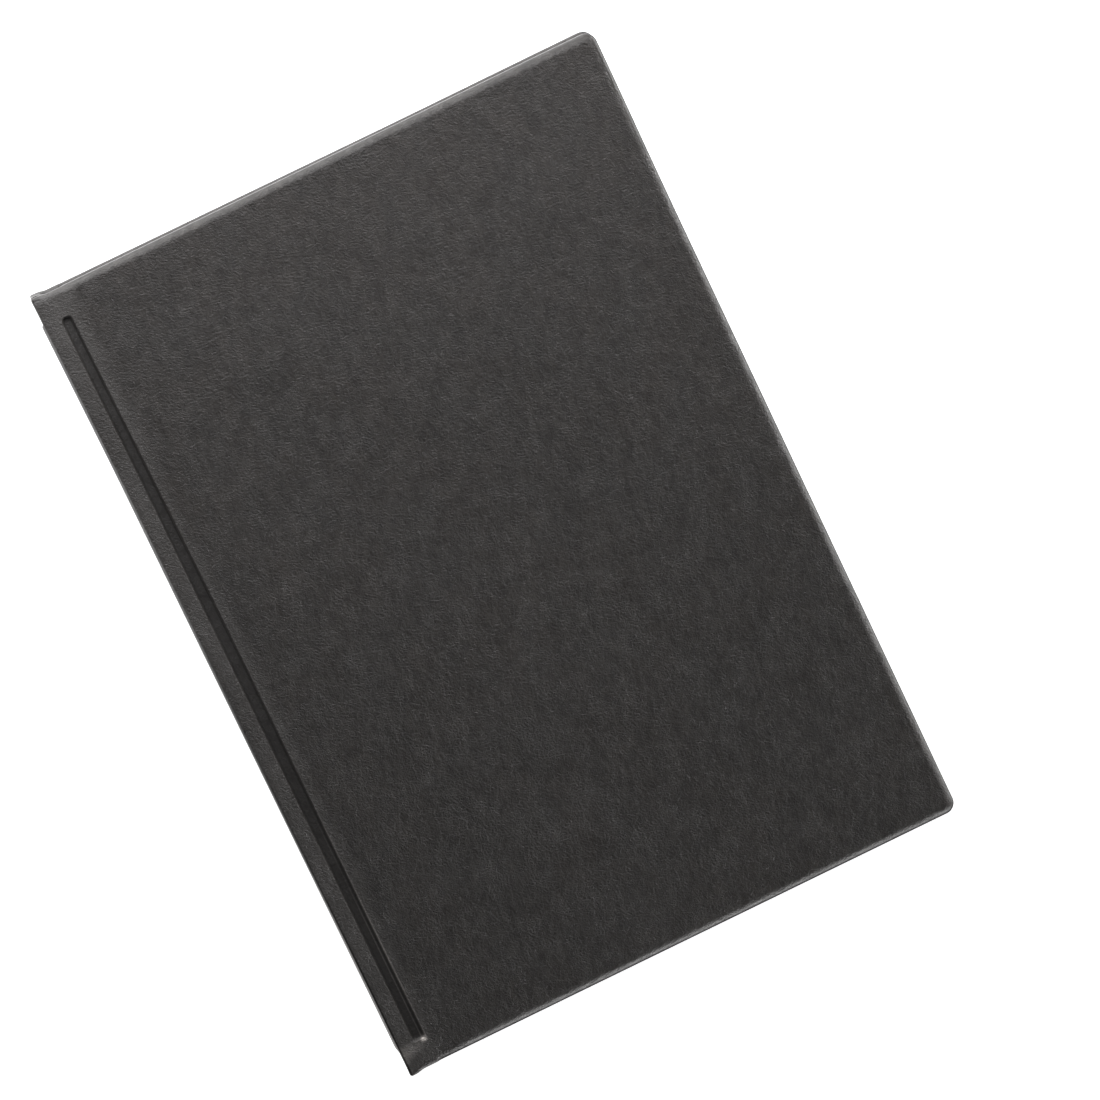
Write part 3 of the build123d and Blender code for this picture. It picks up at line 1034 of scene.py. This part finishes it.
def pocket_rows():
    """Rows of (distance along one leg, distance along the other, depth) over a corner pocket."""
    wrap, under_reach = 5.3, 2.4
    tip = 1.5 + POCKET_THICKNESS
    totals = steps((0.5858 * tip, tip, 4), (tip, 6.0, 6), (6.0, POCKET_LEG - 5.6, 14),
                   (POCKET_LEG - 5.6, POCKET_LEG - 4.6, 5), (POCKET_LEG - 4.6, LIP_START, 8),
                   (LIP_START, POCKET_LEG, 4))
    rows = []
    for total in totals:
        start = 0.0
        if total < tip:
            start = total / 2 - math.sqrt(max(0.0, tip * tip / 2 - (tip - total / 2) ** 2))
        scale = min(1.0, max(0.0, total - 2 * start) / 8.0)
        insets = [start + inset * scale for inset in SIDE_INSETS]
        middle = steps((insets[-1], total - insets[-1], 10))
        places = insets[:-1] + middle + [total - inset for inset in reversed(insets[:-1])]
        row = [(a, total - a, pocket_depth(total, min(a, total - a) - start)) for a in places]
        wall = [(row[0][0], row[0][1], depth) for depth in (PANEL_THICKNESS, wrap)]
        far_wall = [(row[-1][0], row[-1][1], depth) for depth in (wrap, PANEL_THICKNESS)]
        rows.append(wall + row + far_wall)
    lip = [(a, b, min(depth, CARD_FACE + LIP_DROP)) for a, b, depth in rows[-1]]
    rows.append(lip)
    rows.append([(max(0.0, a - under_reach), max(0.0, b - under_reach), depth)
                 for a, b, depth in lip])
    return rows


def corner_pocket(side, corner):
    """A leatherette pocket that wraps one corner of the card, with a hem along its open side."""
    edge_x, inward, end = POCKETS[corner]
    start_x = edge_x - inward * POCKET_THICKNESS
    start_y = CARD_HALF + POCKET_THICKNESS
    rows = pocket_rows()
    vertices = [in_frame(side, start_x + inward * a, end * (start_y - b), depth)
                for row in rows for a, b, depth in row]
    name = f"{side}_pocket_{corner}_patch"
    piece = add_mesh(name, vertices, grid_faces(len(rows), len(rows[0])))
    up = 1 if side == "back" else -1

    def shown(face):
        """Most for a large face that lies on the pocket's outside."""
        return up * face.calc_center_median().z * 100 + face.calc_area() * 1e4

    turn_outward(piece.data, up, lambda faces: max(faces, key=shown), merge=0.002 * MM)
    shade(piece, 50)
    return piece


def make_cord():
    """The elastic cord along the inside of the spine, which dips into an eyelet at each end."""
    data = bpy.data.curves.new("leaflet_cord", "CURVE")
    data.dimensions = "3D"
    data.bevel_depth = CORD_DIAMETER / 2 * MM
    data.bevel_resolution = 7
    data.resolution_u = 16
    data.use_fill_caps = True
    line = data.splines.new("NURBS")
    places = [(STRIP_X, -CORD_HALF), (CORD_X, -CORD_HALF), (CORD_X, -CORD_HALF + CORD_DIP),
              (CORD_X, CORD_HALF - CORD_DIP), (CORD_X, CORD_HALF), (STRIP_X, CORD_HALF)]
    line.points.add(len(places) - 1)
    for point, (x, y) in zip(line.points, places):
        point.co = (*in_frame("back", x, y, MID_HEIGHT), 1)
    line.order_u = 3
    line.use_endpoint_u = True
    cord = add_object("leaflet_cord", data)
    data.materials.append(braid("elastic_braid"))
    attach(cord, "spine")
    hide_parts("elastic_cord")


# Scene


make_camera()
make_world()
make_floor()
make_light("key_softbox", (0.02, 0.332, 0.25), (0.0, 0.13, 0), (0.9, 0.16), 2.6, COOL_LIGHT)
make_light("head_softbox", (-0.1, 1.2, 0.14), (0, 0, 0), (1.2, 0.14), 8.0)
make_light("tail_softbox", (0.2, -1.2, 0.06), (0, 0, 0), (1.5, 0.1), 12.0)
make_light("fore_softbox", (1.25, 0.1, 0.06), (0, 0, 0), (1.2, 0.1), 12.0)
dress_cad_nodes()

skin_material = leatherette("leatherette", skin=True)
pocket_material = leatherette("pocket_skin", grain=0.7)
lining_material = cloth("lining_cloth", at_rest=True)
for side in ("front", "back"):
    skin = cover_skin(side)
    skin.data.materials.append(skin_material)
    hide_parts(f"{side}_covering", "spine_covering")
    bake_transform(skin)
    lining = hinge_lining(side)
    lining.data.materials.append(lining_material)
    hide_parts(f"{side}_joint_lining", "spine_lining")
    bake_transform(lining)
    for corner in POCKETS:
        patch = corner_pocket(side, corner)
        patch.data.materials.append(pocket_material)
        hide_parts(f"{side}_pocket_{corner}")
        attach(patch, f"{side}_cover")
make_cord()
